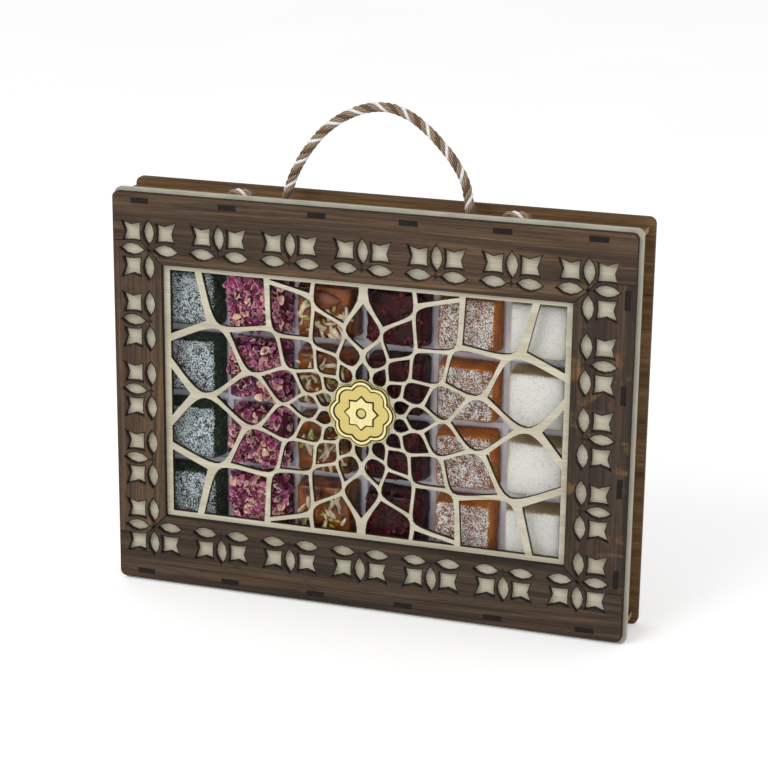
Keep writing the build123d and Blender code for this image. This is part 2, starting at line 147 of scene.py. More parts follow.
class Paint:
    """A material and short calls that add nodes to it."""

    def __init__(self, name, roughness=0.6, **settings):
        self.material = bpy.data.materials.new(name)
        self.material.use_nodes = True
        self.tree = self.material.node_tree
        self.shader = self.tree.nodes["Principled BSDF"]
        self.set(Roughness=roughness, **settings)
        self.place = self.add("TexCoord").outputs["Object"]

    def set(self, **settings):
        for name, value in settings.items():
            self.plug(self.shader.inputs[name.replace("_", " ")], value)

    def plug(self, socket, value):
        """Gives a socket another node's output, or a plain value."""
        if isinstance(value, bpy.types.NodeSocket):
            self.tree.links.new(value, socket)
        else:
            socket.default_value = value

    def add(self, kind, inputs=(), **settings):
        """A node with its settings, and its inputs by name or number."""
        made = self.tree.nodes.new("ShaderNode" + kind)
        for name, value in settings.items():
            setattr(made, name, value)
        for key, value in dict(inputs).items():
            self.plug(made.inputs[key], value)
        return made

    def math(self, operation, first, second=0.0):
        return self.add("Math", {0: first, 1: second}, operation=operation).outputs[0]

    def off_middle(self, value, strength):
        """A value from 0 to 1 as a shift either way, up to half the strength."""
        return self.math("MULTIPLY", self.math("SUBTRACT", value, 0.5), strength)

    def part(self, vector, axis):
        """One of the three numbers of a vector."""
        return self.add("SeparateXYZ", {0: vector}).outputs[axis]

    def noise(self, scale, detail=3.0, roughness=0.55, distortion=0.0, offset=(0, 0, 0)):
        """Noise whose grain is 1 / scale metres along each axis, or along all alike."""
        scale = scale if hasattr(scale, "__len__") else (scale,) * 3
        place = self.add("Mapping", {"Vector": self.place, "Scale": scale, "Location": offset})
        made = self.add("TexNoise", {"Vector": place.outputs[0], "Scale": 1.0, "Detail": detail,
                                     "Roughness": roughness, "Distortion": distortion})
        return made.outputs["Fac"]

    def ramp(self, factor, *stops):
        """A colour for each level of the factor."""
        made = self.add("ValToRGB", {"Fac": factor})
        elements = made.color_ramp.elements
        while len(elements) < len(stops):
            elements.new(0.5)
        for element, (level, colour) in zip(elements, stops):
            element.position = level
            element.color = colour if hasattr(colour, "__len__") else (colour,) * 3 + (1,)
        return made.outputs["Color"]

    def mix(self, factor, first, second, blend="MIX"):
        """Two colours mixed. The Mix node has its own sockets, by number, for colours."""
        made = self.add("Mix", data_type="RGBA", blend_type=blend)
        for socket, value in zip((made.inputs[0], made.inputs[6], made.inputs[7]),
                                 (factor, first, second)):
            self.plug(socket, value)
        return made.outputs[2]

    def normal(self, axis):
        """How far a surface faces along an axis, from 0 to 1 either way."""
        facing = self.add("NewGeometry").outputs["True Normal"]
        return self.math("ABSOLUTE", self.part(facing, axis))

    def turned_from(self, axis):
        """1 on the surfaces that don't face along an axis, such as a board's cut edges."""
        return self.math("LESS_THAN", self.normal(axis), 0.5)

    def bump(self, height, strength, distance):
        made = self.add("Bump", {"Height": height, "Strength": strength, "Distance": distance})
        self.plug(self.shader.inputs["Normal"], made.outputs[0])


def finish_piece(name, bm, materials, body):
    """An object of the mesh, which rides on a body and wears the given materials."""
    mesh = bpy.data.meshes.new(name)
    bm.to_mesh(mesh)
    bm.free()
    for made in materials:
        mesh.materials.append(made)
    piece = bpy.data.objects.new(name, mesh)
    bpy.context.scene.collection.objects.link(piece)
    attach(piece, body)
    return piece


# Wood

WALNUT_TONES = (srgb(50, 39, 32), srgb(72, 56, 43), srgb(93, 73, 54), srgb(120, 92, 62))
# Painted shade: the bottom strip takes darker tones, because the light falls from above.
BOTTOM_PAINTED_SHADE_TONES = (srgb(41, 33, 27), srgb(59, 47, 37), srgb(78, 62, 48), srgb(98, 78, 56))
DUSKY_TONES = (srgb(41, 34, 30), srgb(56, 45, 38), srgb(75, 59, 46), srgb(120, 89, 56))
BACK_TONES = (srgb(82, 61, 41), srgb(106, 80, 53), srgb(124, 96, 65), srgb(142, 112, 76))
CHARRED = srgb(30, 22, 17)
BROWNED = srgb(52, 38, 26)
END_GRAIN = srgb(158, 130, 94)
WOOD_SHINE = 0.2


def along(axis, fine, coarse):
    """Scales of a grain that runs along an axis."""
    return tuple(coarse if a == axis else fine for a in "XYZ")


def walnut(name, axis, tones, edge, seed, patches=0.0):
    """Brown wood with bands, fibres and short dark pores, and burnt cut edges."""
    paint = Paint(name, roughness=0.65, Specular_IOR_Level=WOOD_SHINE)
    offset = (seed * 3.7, seed * 1.9, seed * 2.3)
    bands = paint.noise(along(axis, 75, 4), 5, 0.62, 1.4, offset)
    fibres = paint.noise(along(axis, 900, 16), 4, 0.65, 0.3, offset)
    pores = paint.noise(along(axis, 1500, 90), 2, 0.5, 0.0, offset)
    lines = paint.noise(along(axis, 330, 5), 3, 0.5, 0.5, offset)
    dark, middle, light, gold = tones
    colour = paint.ramp(bands, (0.3, dark), (0.46, middle), (0.6, light), (0.78, gold))
    if patches:
        cloud = paint.noise((38, 38, 70), 3, 0.5, 1.5, offset)
        colour = paint.mix(paint.ramp(cloud, (0.56, 0.0), (0.7, patches)), colour, gold)
    shade = paint.ramp(fibres, (0.3, 0.5), (0.5, 0.95), (0.7, 1.45))
    colour = paint.mix(1.0, colour, shade, "MULTIPLY")
    colour = paint.mix(paint.ramp(lines, (0.4, 0.55), (0.46, 0.0)), colour, dark)
    colour = paint.mix(paint.ramp(pores, (0.28, 0.7), (0.38, 0.0)), colour, edge)
    char = paint.ramp(paint.noise(250, 2), (0.3, edge), (0.8, dark))
    paint.set(Base_Color=paint.mix(paint.turned_from("Y"), colour, char))
    paint.bump(fibres, 0.25, 0.3 * MM)
    return paint.material


def pale_wood(name, axis, face, seed, rim=False):
    """Pale plywood with fine grain. Its cut edges are burnt brown, but for the panel's rim."""
    paint = Paint(name, roughness=0.62, Specular_IOR_Level=WOOD_SHINE)
    offset = (seed * 2.9, seed * 4.1, seed * 1.3)
    bands = paint.noise(along(axis, 130, 8), 3, 0.5, 0.8, offset)
    fibres = paint.noise(along(axis, 1300, 30), 3, 0.6, 0.2, offset)
    ticks = paint.noise(along(axis, 2200, 160), 2, 0.5, 0.0, offset)
    colour = paint.ramp(bands, (0.3, srgb(184, 177, 154)), (0.7, srgb(206, 200, 180)))
    colour = paint.mix(1.0, colour, paint.ramp(fibres, (0.3, 0.84), (0.65, 1.06)), "MULTIPLY")
    colour = paint.mix(paint.ramp(ticks, (0.26, 0.55), (0.36, 0.0)), colour, srgb(138, 124, 96))
    burnt = paint.ramp(paint.noise(400, 2), (0.35, srgb(34, 25, 19)), (0.7, srgb(62, 46, 33)))
    if rim:
        from_side = paint.math("ABSOLUTE", paint.part(paint.place, "X"))
        up = paint.math("SUBTRACT", paint.part(paint.place, "Z"), WINDOW_Z)
        is_rim = paint.math("MAXIMUM", paint.math("GREATER_THAN", from_side, RIM_X),
                            paint.math("GREATER_THAN", paint.math("ABSOLUTE", up), RIM_Z))
        bare = paint.ramp(paint.noise((60, 900, 60), 2), (0.3, srgb(158, 155, 138)),
                          (0.7, srgb(184, 180, 164)))
        burnt = paint.mix(is_rim, burnt, bare)
        colour = paint.mix(is_rim, colour, bare)
    paint.set(Base_Color=paint.mix(paint.turned_from(face), colour, burnt))
    paint.bump(fibres, 0.15, 0.2 * MM)
    return paint.material


def brown_wall(name, axis, face, seed):
    """A wall of the same brown board as the back, with burnt tab ends. The long walls, along X,
    have pale end grain."""
    paint = Paint(name, roughness=0.65, Specular_IOR_Level=WOOD_SHINE)
    offset = (seed * 2.1, seed * 3.3, seed * 1.7)
    bands = paint.noise(along(axis, 80, 5), 4, 0.6, 1.0, offset)
    fibres = paint.noise(along(axis, 900, 18), 4, 0.65, 0.3, offset)
    dark, middle, light = BACK_TONES[:3]
    colour = paint.ramp(bands, (0.32, dark), (0.5, middle), (0.7, light))
    colour = paint.mix(1.0, colour, paint.ramp(fibres, (0.3, 0.7), (0.7, 1.25)), "MULTIPLY")
    burnt = paint.ramp(paint.noise(500, 2), (0.35, srgb(14, 10, 9)), (0.7, srgb(30, 22, 18)))
    colour = paint.mix(paint.turned_from(face), colour, burnt)
    if axis == "X":
        is_end = paint.math("GREATER_THAN", paint.normal("X"), 0.5)
        colour = paint.mix(is_end, colour, END_GRAIN)
    paint.set(Base_Color=colour)
    paint.bump(fibres, 0.2, 0.3 * MM)
    return paint.material


def dress(node, made):
    """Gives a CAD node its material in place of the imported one."""
    slots = nodes[node].data.materials
    slots.clear()
    slots.append(made)


def dress_boards():
    dress("overlay_top", walnut("walnut_top", "X", WALNUT_TONES, CHARRED, 1))
    # Painted shade: the bottom strip's darker tones.
    dress("overlay_bottom", walnut("walnut_bottom", "X", BOTTOM_PAINTED_SHADE_TONES, CHARRED, 2))
    dress("overlay_left", walnut("walnut_left", "Z", WALNUT_TONES, CHARRED, 3, 0.2))
    dress("overlay_right", walnut("walnut_right", "Z", DUSKY_TONES, CHARRED, 4, 0.6))
    dress("back_panel", walnut("walnut_back", "X", BACK_TONES, BROWNED, 5))
    dress("lattice_panel", pale_wood("birch_lattice", "X", "Y", 6, rim=True))
    for node, axis, face in (("top_wall", "X", "Z"), ("bottom_wall", "X", "Z"),
                             ("right_wall", "Z", "X")):
        dress(node, brown_wall("brown_" + node, axis, face, len(node)))
    for node, axis, face in (("drawer_wall_top", "X", "Z"), ("drawer_wall_bottom", "X", "Z"),
                             ("drawer_end", "Z", "X"), ("drawer_far_end", "Z", "X")):
        dress(node, pale_wood("birch_" + node, axis, face, len(node)))
    dress("drawer_base", pale_wood("birch_base", "X", "Y", 9))


def front_loops(node):
    """The closed edges of a node's front face, the outline first and then its holes."""
    bm = bmesh.new()
    bm.from_mesh(nodes[node].data)
    bmesh.ops.remove_doubles(bm, verts=bm.verts[:], dist=SAME_POINT)
    bm.faces.index_update()
    front = min(v.co.y for v in bm.verts)
    flat = [f for f in bm.faces if max(v.co.y for v in f.verts) < front + SAME_PLANE]
    in_front = {f.index for f in flat}
    ahead = {}
    for face in flat:
        for loop in face.loops:
            others = {f.index for f in loop.edge.link_faces} - {face.index}
            if not others & in_front:
                ahead[loop.vert] = loop.link_loop_next.vert
    found = []
    while ahead:
        start, vert = ahead.popitem()
        ring = [start.co.copy()]
        while vert is not start:
            ring.append(vert.co.copy())
            vert = ahead.pop(vert)
        found.append(ring)
    bm.free()
    found.sort(key=lambda ring: min(p.x for p in ring) - max(p.x for p in ring))
    return found


def add_ribbon(bm, ring, width, lift):
    """A flat ribbon round a hole, in front of the face. A negative width puts it in the hole."""
    outer = []
    for before, point, after in zip(ring[-1:] + ring[:-1], ring, ring[1:] + ring[:1]):
        sides = [Vector((-d.z, 0, d.x)).normalized() for d in (point - before, after - point)]
        middle = (sides[0] + sides[1]).normalized()
        outer.append(point + middle * width / max(middle.dot(sides[0]), 0.5))
    forward = Vector((0, lift, 0))
    near, far = [[bm.verts.new(p - forward) for p in line] for line in (ring, outer)]
    for i in range(len(ring)):
        k = (i + 1) % len(ring)
        face = bm.faces.new((near[i], near[k], far[k], far[i]))
        face.normal_update()
        if face.normal.y > 0:
            face.normal_flip()


def flower_middles():
    """The middles of the flowers, which stand in a rectangle round the window."""
    def spread(size, count):
        reach = size / 2 + FLOWER_OFFSET
        return [reach * (2 * i / (count - 1) - 1) for i in range(count)]
    across = spread(WINDOW_W, FLOWERS_ACROSS)
    upward = spread(WINDOW_H, FLOWERS_UP)
    places = [(x, z) for x in across for z in (upward[0], upward[-1])]
    places += [(x, z) for z in upward[1:-1] for x in (across[0], across[-1])]
    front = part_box("overlay_top")[0].y
    return [Vector((WINDOW_X + x, front, WINDOW_Z + z)) for x, z in places]


def cut_lines_with_shade():
    """Dark lines that stand for the cutter's scorch together with painted shade of the cut walls,
    round the flowers' holes and along the strips' outlines, and the cutter's mark in the middle of
    each flower. The slots are filled by burnt tabs."""
    # One dark colour for the scorch, the painted shade of the cut walls and the marks.
    paint = Paint("burn_and_shade", roughness=0.7, Specular_IOR_Level=WOOD_SHINE)
    level = paint.noise(700, 3)
    paint.set(Base_Color=paint.ramp(level, (0.3, srgb(28, 20, 16)), (0.75, srgb(52, 39, 31))))
    for word, share in OUTLINE_SHARE.items():
        bm = bmesh.new()
        for number, ring in enumerate(front_loops("overlay_" + word)):
            if len(ring) != SLOT_CORNERS:
                add_ribbon(bm, ring, BURN_AND_SHADE_W * (1 if number else share), FACE_LIFT)
        finish_piece("burn_and_shade_" + word, bm, [paint.material], "sleeve")
    bm = bmesh.new()
    for middle in flower_middles():
        points = []
        for step in range(MARK_CORNERS):
            turn = FULL_TURN / MARK_CORNERS * step
            reach = MARK_R * MARK_WAIST if step % 2 else MARK_R
            point = Vector((reach * math.cos(turn), -FACE_LIFT, reach * math.sin(turn)))
            points.append(bm.verts.new(middle + point))
        bm.faces.new(points)
    finish_piece("flower_marks", bm, [paint.material], "sleeve")


# Clear plastic and metal

def dress_plastic():
    sheet = Paint("clear_film", roughness=0.05, Alpha=0.04, Base_Color=(0.02, 0.02, 0.025, 1))
    sheet.bump(sheet.noise(30, 2), 0.2, 1 * MM)
    dress("window_sheet", sheet.material)
    # Painted light: the tray's near-white colour and faint emission stand in for light that passes
    # through the frosted plastic.
    tray = Paint("frosted_tray", roughness=0.22, Alpha=0.9)
    cloud = tray.noise(90, 2)
    tray.set(Base_Color=tray.ramp(cloud, (0.3, srgb(222, 220, 230)), (0.7, srgb(246, 246, 250))))
    tray.set(Emission_Color=(0.8, 0.8, 0.92, 1), Emission_Strength=0.05)
    tray.bump(cloud, 0.3, 0.6 * MM)
    dress("sweet_tray", tray.material)


def dress_medallion():
    """Gilt relief over a darker ground, with dark lines beside the relief."""
    gilt = Paint("gilt", roughness=0.4, Metallic=0.6)
    half_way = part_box("medallion")[0].y + RELIEF / 2
    is_raised = gilt.math("LESS_THAN", gilt.part(gilt.place, "Y"), half_way)
    brushed = gilt.noise((2400, 60, 140), 2)
    bright = gilt.ramp(brushed, (0.3, srgb(220, 206, 142)), (0.7, srgb(242, 230, 174)))
    colour = gilt.mix(is_raised, srgb(208, 190, 116), bright)
    gilt.set(Base_Color=gilt.mix(gilt.turned_from("Y"), colour, srgb(38, 30, 18)))
    gilt.bump(brushed, 0.12, 0.1 * MM)
    dress("medallion", gilt.material)

    groove = Paint("groove", roughness=0.6, Specular_IOR_Level=0.2)
    level = groove.noise(900, 2)
    groove.set(Base_Color=groove.ramp(level, (0.3, srgb(20, 18, 8)), (0.7, srgb(40, 34, 18))))
    bm = bmesh.new()
    for ring in front_loops("medallion"):
        add_ribbon(bm, ring, -GROOVE_W, FACE_LIFT - RELIEF)
    finish_piece("medallion_grooves", bm, [groove.material], "sleeve")


# Rope

def read_spline(points, name):
    """Evenly spaced points of the smooth curve that has these control points."""
    curve = bpy.data.curves.new(name, "CURVE")
    curve.dimensions = "3D"
    curve.resolution_u = 24
    spline = curve.splines.new("NURBS")
    spline.points.add(len(points) - 1)
    for target, point in zip(spline.points, points):
        target.co = (*point, 1)
    spline.order_u = 3
    spline.use_endpoint_u = True
    holder = bpy.data.objects.new(name, curve)
    bpy.context.scene.collection.objects.link(holder)
    mesh = bpy.data.meshes.new_from_object(holder)
    found = [v.co.copy() for v in mesh.vertices]
    bpy.data.objects.remove(holder)
    bpy.data.meshes.remove(mesh)
    return even(found)


def even(points):
    """The same line through points a step apart."""
    lengths = [0]
    for a, b in zip(points, points[1:]):
        lengths.append(lengths[-1] + (b - a).length)
    count = round(lengths[-1] / STEP)
    found = []
    i = 0
    for k in range(count + 1):
        reach = lengths[-1] * k / count
        while i < len(points) - 2 and lengths[i + 1] < reach:
            i += 1
        share = (reach - lengths[i]) / (lengths[i + 1] - lengths[i])
        found.append(points[i].lerp(points[i + 1], min(share, 1)))
    return found


def frames(points):
    """At each point two directions square to the line, turned as little as can be from the last."""
    side = FIRST_SIDE
    found = []
    for i in range(len(points)):
        ahead = (points[min(i + 1, len(points) - 1)] - points[max(i - 1, 0)]).normalized()
        side = (side - ahead * side.dot(ahead)).normalized()
        found.append((side, ahead.cross(side)))
    return found


def add_strand(bm, points, radius, uv, index):
    """A round tube along points, drawn in and closed at both ends."""
    rings = []
    for i, ((a, b), point) in enumerate(zip(frames(points), points)):
        near_end = min(i, len(points) - 1 - i)
        size = radius * (1 - STRAND_TAPER * max(0, 1 - near_end / TAPER_RINGS) ** 2)
        turns = [FULL_TURN * k / STRAND_SIDES for k in range(STRAND_SIDES)]
        rings.append([bm.verts.new(point + (a * math.cos(t) + b * math.sin(t)) * size)
                      for t in turns])
    step = (points[1] - points[0]).length
    for i, (ring, following) in enumerate(zip(rings, rings[1:])):
        for k in range(STRAND_SIDES):
            n = (k + 1) % STRAND_SIDES
            face = bm.faces.new((ring[k], ring[n], following[n], following[k]))
            face.smooth = True
            face.material_index = index
            corners = ((i, k), (i, k + 1), (i + 1, k + 1), (i + 1, k))
            for loop, (row, column) in zip(face.loops, corners):
                loop[uv].uv = (row * step, column / STRAND_SIDES)
    for ring in (rings[0][::-1], rings[-1]):
        face = bm.faces.new(ring)
        face.material_index = index


def yarn(name, dark, light, roughness=0.75):
    """A strand's surface: fine yarns that wind round it. Their darker stripes are partly the plies'
    own colour and partly painted shade in the grooves between them.
    """
    paint = Paint(name, roughness=roughness, Sheen_Weight=0.25, Sheen_Roughness=0.4)
    place = paint.add("UVMap").outputs[0]
    turned = paint.math("ADD", paint.math("MULTIPLY", paint.part(place, "X"), 260),
                        paint.math("MULTIPLY", paint.part(place, "Y"), 7))
    wave = paint.math("SINE", paint.math("MULTIPLY", turned, FULL_TURN))
    level = paint.math("ADD", paint.math("MULTIPLY", wave, 0.35), 0.5)
    level = paint.math("ADD", level, paint.off_middle(paint.noise(900, 2), 0.7))
    # Painted shade: the ramp's dark end darkens the grooves between the yarns, as well as giving
    # their own darker tone.
    paint.set(Base_Color=paint.ramp(level, (0.1, dark), (0.75, light)))
    paint.bump(level, 0.5, 0.3 * MM)
    return paint.material


def twist_rope(name, points, phase, yarns, body):
    """Four strands laid right-handed round the points."""
    bm = bmesh.new()
    uv = bm.loops.layers.uv.new("UVMap")
    kinds = sorted(yarns)
    turned = frames(points)
    for number, kind in enumerate(STRANDS):
        radius = STRAND_R[kind]
        line = []
        reach = 0
        for i, (point, (a, b)) in enumerate(zip(points, turned)):
            reach += (point - points[i - 1]).length if i else 0
            angle = phase + FULL_TURN * (number / len(STRANDS) + reach / LAY)
            out = STRAND_REACH - radius
            line.append(point + (a * math.cos(angle) + b * math.sin(angle)) * out)
        add_strand(bm, line, radius, uv, kinds.index(kind))
    return finish_piece(name, bm, [yarns[kind] for kind in kinds], body)


def make_ropes():
    # Each yarn's first colour is partly painted shade in the grooves between its yarns.
    yarns = {
        "tan": yarn("yarn_tan", srgb(58, 40, 28), srgb(168, 144, 114)),
        "dark": yarn("yarn_dark", srgb(30, 20, 16), srgb(112, 86, 66)),
        "white": yarn("yarn_white", srgb(186, 180, 182), srgb(252, 250, 248), 0.5),
    }
    route = [Vector((ROPE_X + x * MM, ROPE_Y, PIVOT_Z + z * MM)) for x, z in HANDLE_ROUTE]
    below = Vector((0, 0, -HANDLE_SUNK))
    points = read_spline([route[0] + below] + route + [route[-1] + below], "handle_line")
    handle = twist_rope("twisted_handle", points, HANDLE_PHASE, yarns, "handle")
    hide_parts("handle_rope")

    for side, word in ((-1, "left"), (1, "right")):
        leg, inner, outer = [ROPE_X + side * x for x in (LEG, INNER_LACE, OUTER_LACE)]
        over, under = WALL_TOP + LACE_OVER, WALL_TOP - LACE_UNDER
        place = [(outer, WALL_TOP - LACE_END), (outer, under), (outer, WALL_TOP), (outer, over),
                 (inner, over), (inner, WALL_TOP), (inner, under),
                 (inner - side * LACE_BEND, under), (leg + side * LACE_BEND, under),
                 (leg, under), (leg, WALL_TOP - LACE_SUNK), (leg, WALL_TOP)]
        points = read_spline([Vector((x, ROPE_Y, z)) for x, z in place], "lacing_line")
        phase = LACE_PHASE + side
        rope = twist_rope("twisted_lacing_" + word, points, phase, yarns, "sleeve")
        if side < 0:
            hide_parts("rope_lacing")
        coil = []
        for i in range(KNOT_POINTS):
            turn = FULL_TURN * i / KNOT_ROUND
            coil.append(Vector((outer + KNOT_R * math.cos(turn), ROPE_Y + KNOT_R * math.sin(turn),
                                WALL_TOP - KNOT_LOW + KNOT_RISE * i / (KNOT_POINTS - 1))))
        twist_rope("stopper_knot_" + word, even(coil), KNOT_PHASE, yarns, "sleeve")


# Sweets

def sweet_boxes(node):
    """The corners of the four sweets of a CAD node, from the top one down."""
    low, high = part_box(node)
    width = high.x - low.x
    size = Vector((width, high.y - low.y, width - SWEET_WIDER))
    pitch = (high.z - low.z - size.z) / (ROWS - 1)
    found = []
    for row in range(ROWS):
        corner = Vector((low.x, low.y, high.z - size.z - pitch * row))
        found.append((corner, corner + size))
    return found


def add_block(bm, low, high, rng, wobble):
    """A soft block between two corners, with round edges and a slightly uneven face."""
    middle, half = (low + high) / 2, (high - low) / 2
    block = bmesh.new()
    bmesh.ops.create_cube(block, size=2)
    bmesh.ops.subdivide_edges(block, edges=block.edges[:], cuts=SWEET_GRID, use_grid_fill=True)
    angles = [math.radians(rng.uniform(-SWEET_TILT, SWEET_TILT)) for _ in range(3)]
    tilt = Euler(angles).to_matrix()
    seed = Vector([rng.uniform(0, 50) for _ in range(3)])
    core = half - Vector((SWEET_ROUND,) * 3)
    for v in block.verts:
        q = Vector([math.sin(c * math.pi / 2) * h for c, h in zip(v.co, half)])
        inner = Vector([max(-c, min(c, value)) for c, value in zip(core, q)])
        out = q - inner
        p = inner + out.normalized() * SWEET_ROUND if out.length > TINY else q
        drawn_in = (half.y - p.y) * math.tan(SWEET_DRAFT)
        p.x *= 1 - drawn_in / half.x
        p.z *= 1 - drawn_in / half.z
        rough = noise.noise(p * LUMPS + seed) + noise.noise(p * PITS + seed) * PIT_SHARE
        v.co = middle + tilt @ (p + p.normalized() * rough * wobble)
    for face in block.faces:
        face.smooth = True
    mesh = bpy.data.meshes.new("block")
    block.to_mesh(mesh)
    block.free()
    bm.from_mesh(mesh)
    bpy.data.meshes.remove(mesh)


def jelly(name, deep, body, roughness, gloss):
    """Translucent set jelly."""
    paint = Paint(name, roughness=roughness, Subsurface_Weight=0.3, Subsurface_Scale=4 * MM,
                  Subsurface_Radius=(1.0, 0.5, 0.2), Specular_IOR_Level=0.12, Coat_Weight=gloss,
                  Coat_Roughness=0.08)
    paint.set(Base_Color=paint.ramp(paint.noise(130, 4), (0.38, deep), (0.62, body)))
    paint.bump(paint.noise(420, 3), 0.5, 0.8 * MM)
    return paint


def dusted(name, deep, body, ground, dust, cover, top_painted_shade=None):
    """Jelly with its front face under shredded coconut, which thins out on the sides, and painted
    shade on its top when a colour for it is given.
    """
    paint = Paint(name, roughness=0.45, Subsurface_Weight=0.2, Subsurface_Scale=3 * MM,
                  Subsurface_Radius=(1.0, 0.6, 0.3), Specular_IOR_Level=0.2)
    colour = paint.ramp(paint.noise(110, 3), (0.3, deep), (0.65, body))
    is_front = paint.ramp(paint.normal("Y"), (0.6, 0.0), (0.95, 1.0))
    colour = paint.mix(is_front, colour, ground)
    if top_painted_shade:
        # Painted shade: a top colour turns the top faces brown, as in the shadow that falls on
        # them.
        is_top = paint.ramp(paint.normal("Z"), (0.5, 0.0), (0.95, 1.0))
        colour = paint.mix(is_top, colour, top_painted_shade)
    shreds = paint.noise(1250, 3, 0.7)
    level = paint.math("ADD", shreds, paint.off_middle(paint.noise(260, 2), 0.35))
    level = paint.math("ADD", level, paint.ramp(paint.normal("Y"), (0.45, 0.0), (0.9, cover)))
    is_dust = paint.ramp(level, (0.62, 0.0), (0.72, 1.0))
    fleck = paint.ramp(shreds, (0.35, dust[0]), (0.6, dust[1]))
    paint.set(Base_Color=paint.mix(is_dust, colour, fleck))
    paint.bump(level, 0.8, 0.9 * MM)
    return paint


def make_blocks():
    """One soft piece for each colour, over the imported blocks."""
    paints = {
        "green": dusted("jelly_green", srgb(18, 38, 12), srgb(38, 66, 24), srgb(26, 38, 26),
                        (srgb(150, 158, 160), srgb(230, 242, 248)), 0.17),
        "magenta": jelly("jelly_rose", srgb(84, 18, 40), srgb(130, 40, 66), 0.45, 0.15),
        "amber": jelly("jelly_amber", srgb(58, 24, 4), srgb(150, 80, 20), 0.22, 0.35),
        "maroon": jelly("jelly_maroon", srgb(30, 3, 6), srgb(70, 8, 12), 0.35, 0.1),
        "orange": dusted("jelly_orange", srgb(158, 78, 10), srgb(206, 122, 28), srgb(136, 84, 46),
                         (srgb(196, 184, 176), srgb(255, 253, 250)), 0.16),
        # The white sweets' last colour is painted shade on their tops.
        "white": dusted("jelly_white", srgb(236, 232, 212), srgb(246, 243, 228),
                        srgb(230, 227, 212), (srgb(240, 238, 226), srgb(255, 255, 248)), 0.3,
                        srgb(172, 148, 112)),
    }
    for colour, paint in paints.items():
        rng = random.Random(colour)
        bm = bmesh.new()
        for low, high in sweet_boxes("sweets_" + colour):
            add_block(bm, low, high, rng, WOBBLE[colour] * MM)
        piece = finish_piece("soft_sweets_" + colour, bm, [paint.material], "drawer")
        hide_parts("sweets_" + colour)


def plain(name, dark, light, roughness=0.5, scale=300, **settings):
    """A mottled and slightly rough surface."""
    paint = Paint(name, roughness=roughness, **settings)
    level = paint.noise(scale, 3)
    paint.set(Base_Color=paint.ramp(level, (0.3, dark), (0.7, light)))
    paint.bump(level, 0.3, 0.3 * MM)
    return paint.material


def add_shred(bm, place, rng, length, width, index, thick=None):
    """A short curved sliver that lies on a face towards the viewer."""
    turn = Euler((rng.uniform(-0.5, 0.5), rng.uniform(0, math.pi), rng.uniform(-0.5, 0.5)))
    turn = turn.to_matrix()
    half = Vector((length / 2, (thick or width) / 2, width / 2))
    bow = rng.uniform(-0.25, 0.25) * length
    sections = []
    for share, size in ((-1, 0.55), (0, 1), (1, 0.55)):
        centre = Vector((half.x * share, 0, bow * (1 - share**2)))
        corners = [centre + Vector((0, y * half.y, z * half.z)) * size
                   for y, z in ((-1, -1), (1, -1), (1, 1), (-1, 1))]
        sections.append([bm.verts.new(place + turn @ corner) for corner in corners])
    faces = [(a[k], a[(k + 1) % 4], b[(k + 1) % 4], b[k])
             for a, b in zip(sections, sections[1:]) for k in range(4)]
    for corners in faces + [sections[0][::-1], sections[-1]]:
        face = bm.faces.new(corners)
        face.material_index = index
        face.smooth = True


def scatter_coconut():
    """Coconut shreds on the front of the dusted sweets."""
    inset, sunk = 2.5 * MM, 0.2 * MM
    for colour, count in SHREDS.items():
        rng = random.Random("coconut" + colour)
        bm = bmesh.new()
        for low, high in sweet_boxes("sweets_" + colour):
            for _ in range(count):
                place = Vector((rng.uniform(low.x + inset, high.x - inset), low.y + sunk,
                                rng.uniform(low.z + inset, high.z - inset)))
                length, width = rng.uniform(0.8, 2.2) * MM, rng.uniform(0.25, 0.5) * MM
                add_shred(bm, place, rng, length, width, 0)
        flakes = plain("coconut", srgb(214, 214, 206), srgb(250, 250, 246), 0.6)
        finish_piece("coconut_on_" + colour, bm, [flakes], "drawer")


def place_on(side, low, high, rng, inset, sunk, ahead):
    """A random place on the front, the right or the top of a block. It is sunk into the last two
    and stands ahead of the first, or in it, by a random amount."""
    x, y, z = [rng.uniform(a + inset, b - inset) for a, b in zip(low, high)]
    front = low.y - rng.uniform(*ahead)
    return Vector({"front": (x, front, z), "right": (high.x - sunk, y, z),
                   "top": (x, y, high.z - sunk)}[side])


def add_petal(bm, uv, place, rng, size, index, facing):
    """A dried petal: a small cupped and curled leaf. Its pale edge is read from the UV map."""
    turn = Euler((rng.uniform(-0.9, 0.9), rng.uniform(0, FULL_TURN), rng.uniform(-0.9, 0.9)))
    turn = Euler(facing).to_matrix() @ turn.to_matrix()
    cup = rng.uniform(0.3, 1.1)
    curl = rng.uniform(-0.6, 1.3)
    last_row, last_column = PETAL_ROWS - 1, PETAL_COLUMNS - 1
    rows = []
    for i in range(PETAL_ROWS):
        u = i / last_row
        width = math.sin(math.pi * (0.12 + 0.8 * u)) * (0.5 + 0.3 * u)
        row = []
        for k in range(PETAL_COLUMNS):
            v = (k / last_column - 0.5) * 2 * width
            wave = 0.1 * math.sin(9 * u + 5 * v + index)
            lift = -cup * v * v - curl * (u - 0.4) ** 2 + wave
            point = Vector((v * 0.6, lift, (u - 0.5) * 1.1)) * size
            row.append(bm.verts.new(place + turn @ point))
        rows.append(row)
    for i, (a, b) in enumerate(zip(rows, rows[1:])):
        for k in range(last_column):
            face = bm.faces.new((a[k], a[k + 1], b[k + 1], b[k]))
            face.material_index = index
            face.smooth = True
            corners = ((i, k), (i, k + 1), (i + 1, k + 1), (i + 1, k))
            for loop, (row, column) in zip(face.loops, corners):
                loop[uv].uv = (column / last_column, row / last_row)


